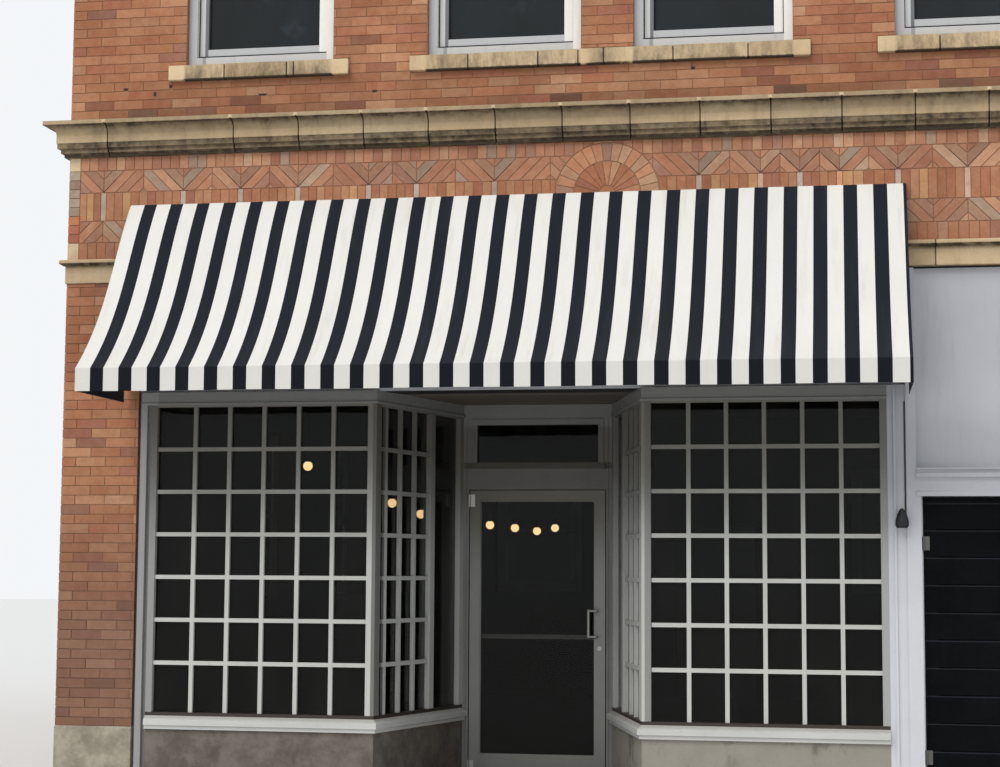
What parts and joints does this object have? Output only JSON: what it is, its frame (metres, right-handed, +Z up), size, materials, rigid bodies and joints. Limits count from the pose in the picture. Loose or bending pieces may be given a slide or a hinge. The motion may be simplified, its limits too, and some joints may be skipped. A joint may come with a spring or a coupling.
{
  "type": "corner shop building",
  "caption": "Brick corner shop building with a recessed glazed shopfront, striped awning, stone cornice, side door and an upper storey.",
  "frame": {"origin": "on the ground at the middle of the footprint between the wall faces, on the underside of the ground floor slab", "axes": "+Z up; the street front faces -Y; +X is to the right seen from the street"},
  "size_m": [7.85, 11.975, 8.39],
  "materials": {
    "brick": "orange-tan face brick in running bond, thin buff joints",
    "stone": "buff limestone with dark soot",
    "concrete": "worn concrete",
    "render": "grey-beige cement render",
    "floor_wood": "worn boards",
    "soffit_wood": "dark painted boards",
    "roofing": "dull roofing felt",
    "steel": "dark painted steel",
    "panel_paint": "pale blue-grey paint",
    "shopfront_paint": "mid grey paint",
    "bar_paint": "light grey paint",
    "sill_paint": "off-white paint",
    "window_white": "white window frames",
    "glass": "clear glass over a dark room",
    "aluminium": "satin anodised",
    "door_black": "near-black satin paint",
    "awning_cloth": "off-white and charcoal-navy striped canvas"
  },
  "bodies": {
    "building": {"ground_floor": "concrete", "entry_floor": "concrete", "upper_floor": "floor_wood", "roof_deck": "roofing", "left_wall": "brick", "party_wall": "brick", "rear_wall": "brick", "front_upper_wall": "brick", "frieze": "brick", "cornice": "stone", "lower_belt": "stone", "left_pier": "brick", "right_pier": "brick", "pier_bases": "render", "shopfront_beam": "steel", "fascia_panel": "panel_paint", "coping": "stone", "front_sills": "stone", "front_lintels": "stone", "front_windows": "window_white", "front_window_glass": "glass", "side_stonework": "stone", "side_windows": "window_white", "side_window_glass": "glass", "rear_stonework": "stone", "rear_windows": "window_white", "rear_window_glass": "glass", "rear_door": "shopfront_paint", "left_jamb": "shopfront_paint", "shop_pilaster": "panel_paint", "right_jamb": "panel_paint", "shopfront_header": "shopfront_paint", "left_display_frame": "bar_paint", "left_return_frame": "bar_paint", "right_display_frame": "bar_paint", "right_return_frame": "bar_paint", "display_glass": "glass", "display_sills": "sill_paint", "bulkheads": "render", "display_floors": "floor_wood", "recess_soffit": "soffit_wood", "threshold": "aluminium", "entry_door_frame": "shopfront_paint", "transom_glass": "glass", "side_door_frame": "panel_paint", "awning_frame": "steel", "awning_cover": "awning_cloth", "awning_ends": "awning_cloth", "wall_fixture": "steel"},
    "entry_door": {"entry_door": "aluminium", "entry_door_glass": "glass", "entry_door_pull": "aluminium", "entry_door_hardware": "aluminium"},
    "side_door": {"side_door": "door_black", "side_door_hardware": "aluminium"}
  },
  "joints": [
    {"name": "entry_door_hinge", "type": "hinge", "parent": "building", "child": "entry_door", "pos_m": [-1.183, -4.222, 1.1], "axis": [0, 0, -1], "range_deg": [0, 90]},
    {"name": "side_door_hinge", "type": "hinge", "parent": "building", "child": "side_door", "pos_m": [2.059, -5.472, 1.05], "axis": [0, 0, -1], "range_deg": [0, 100]}
  ]
}
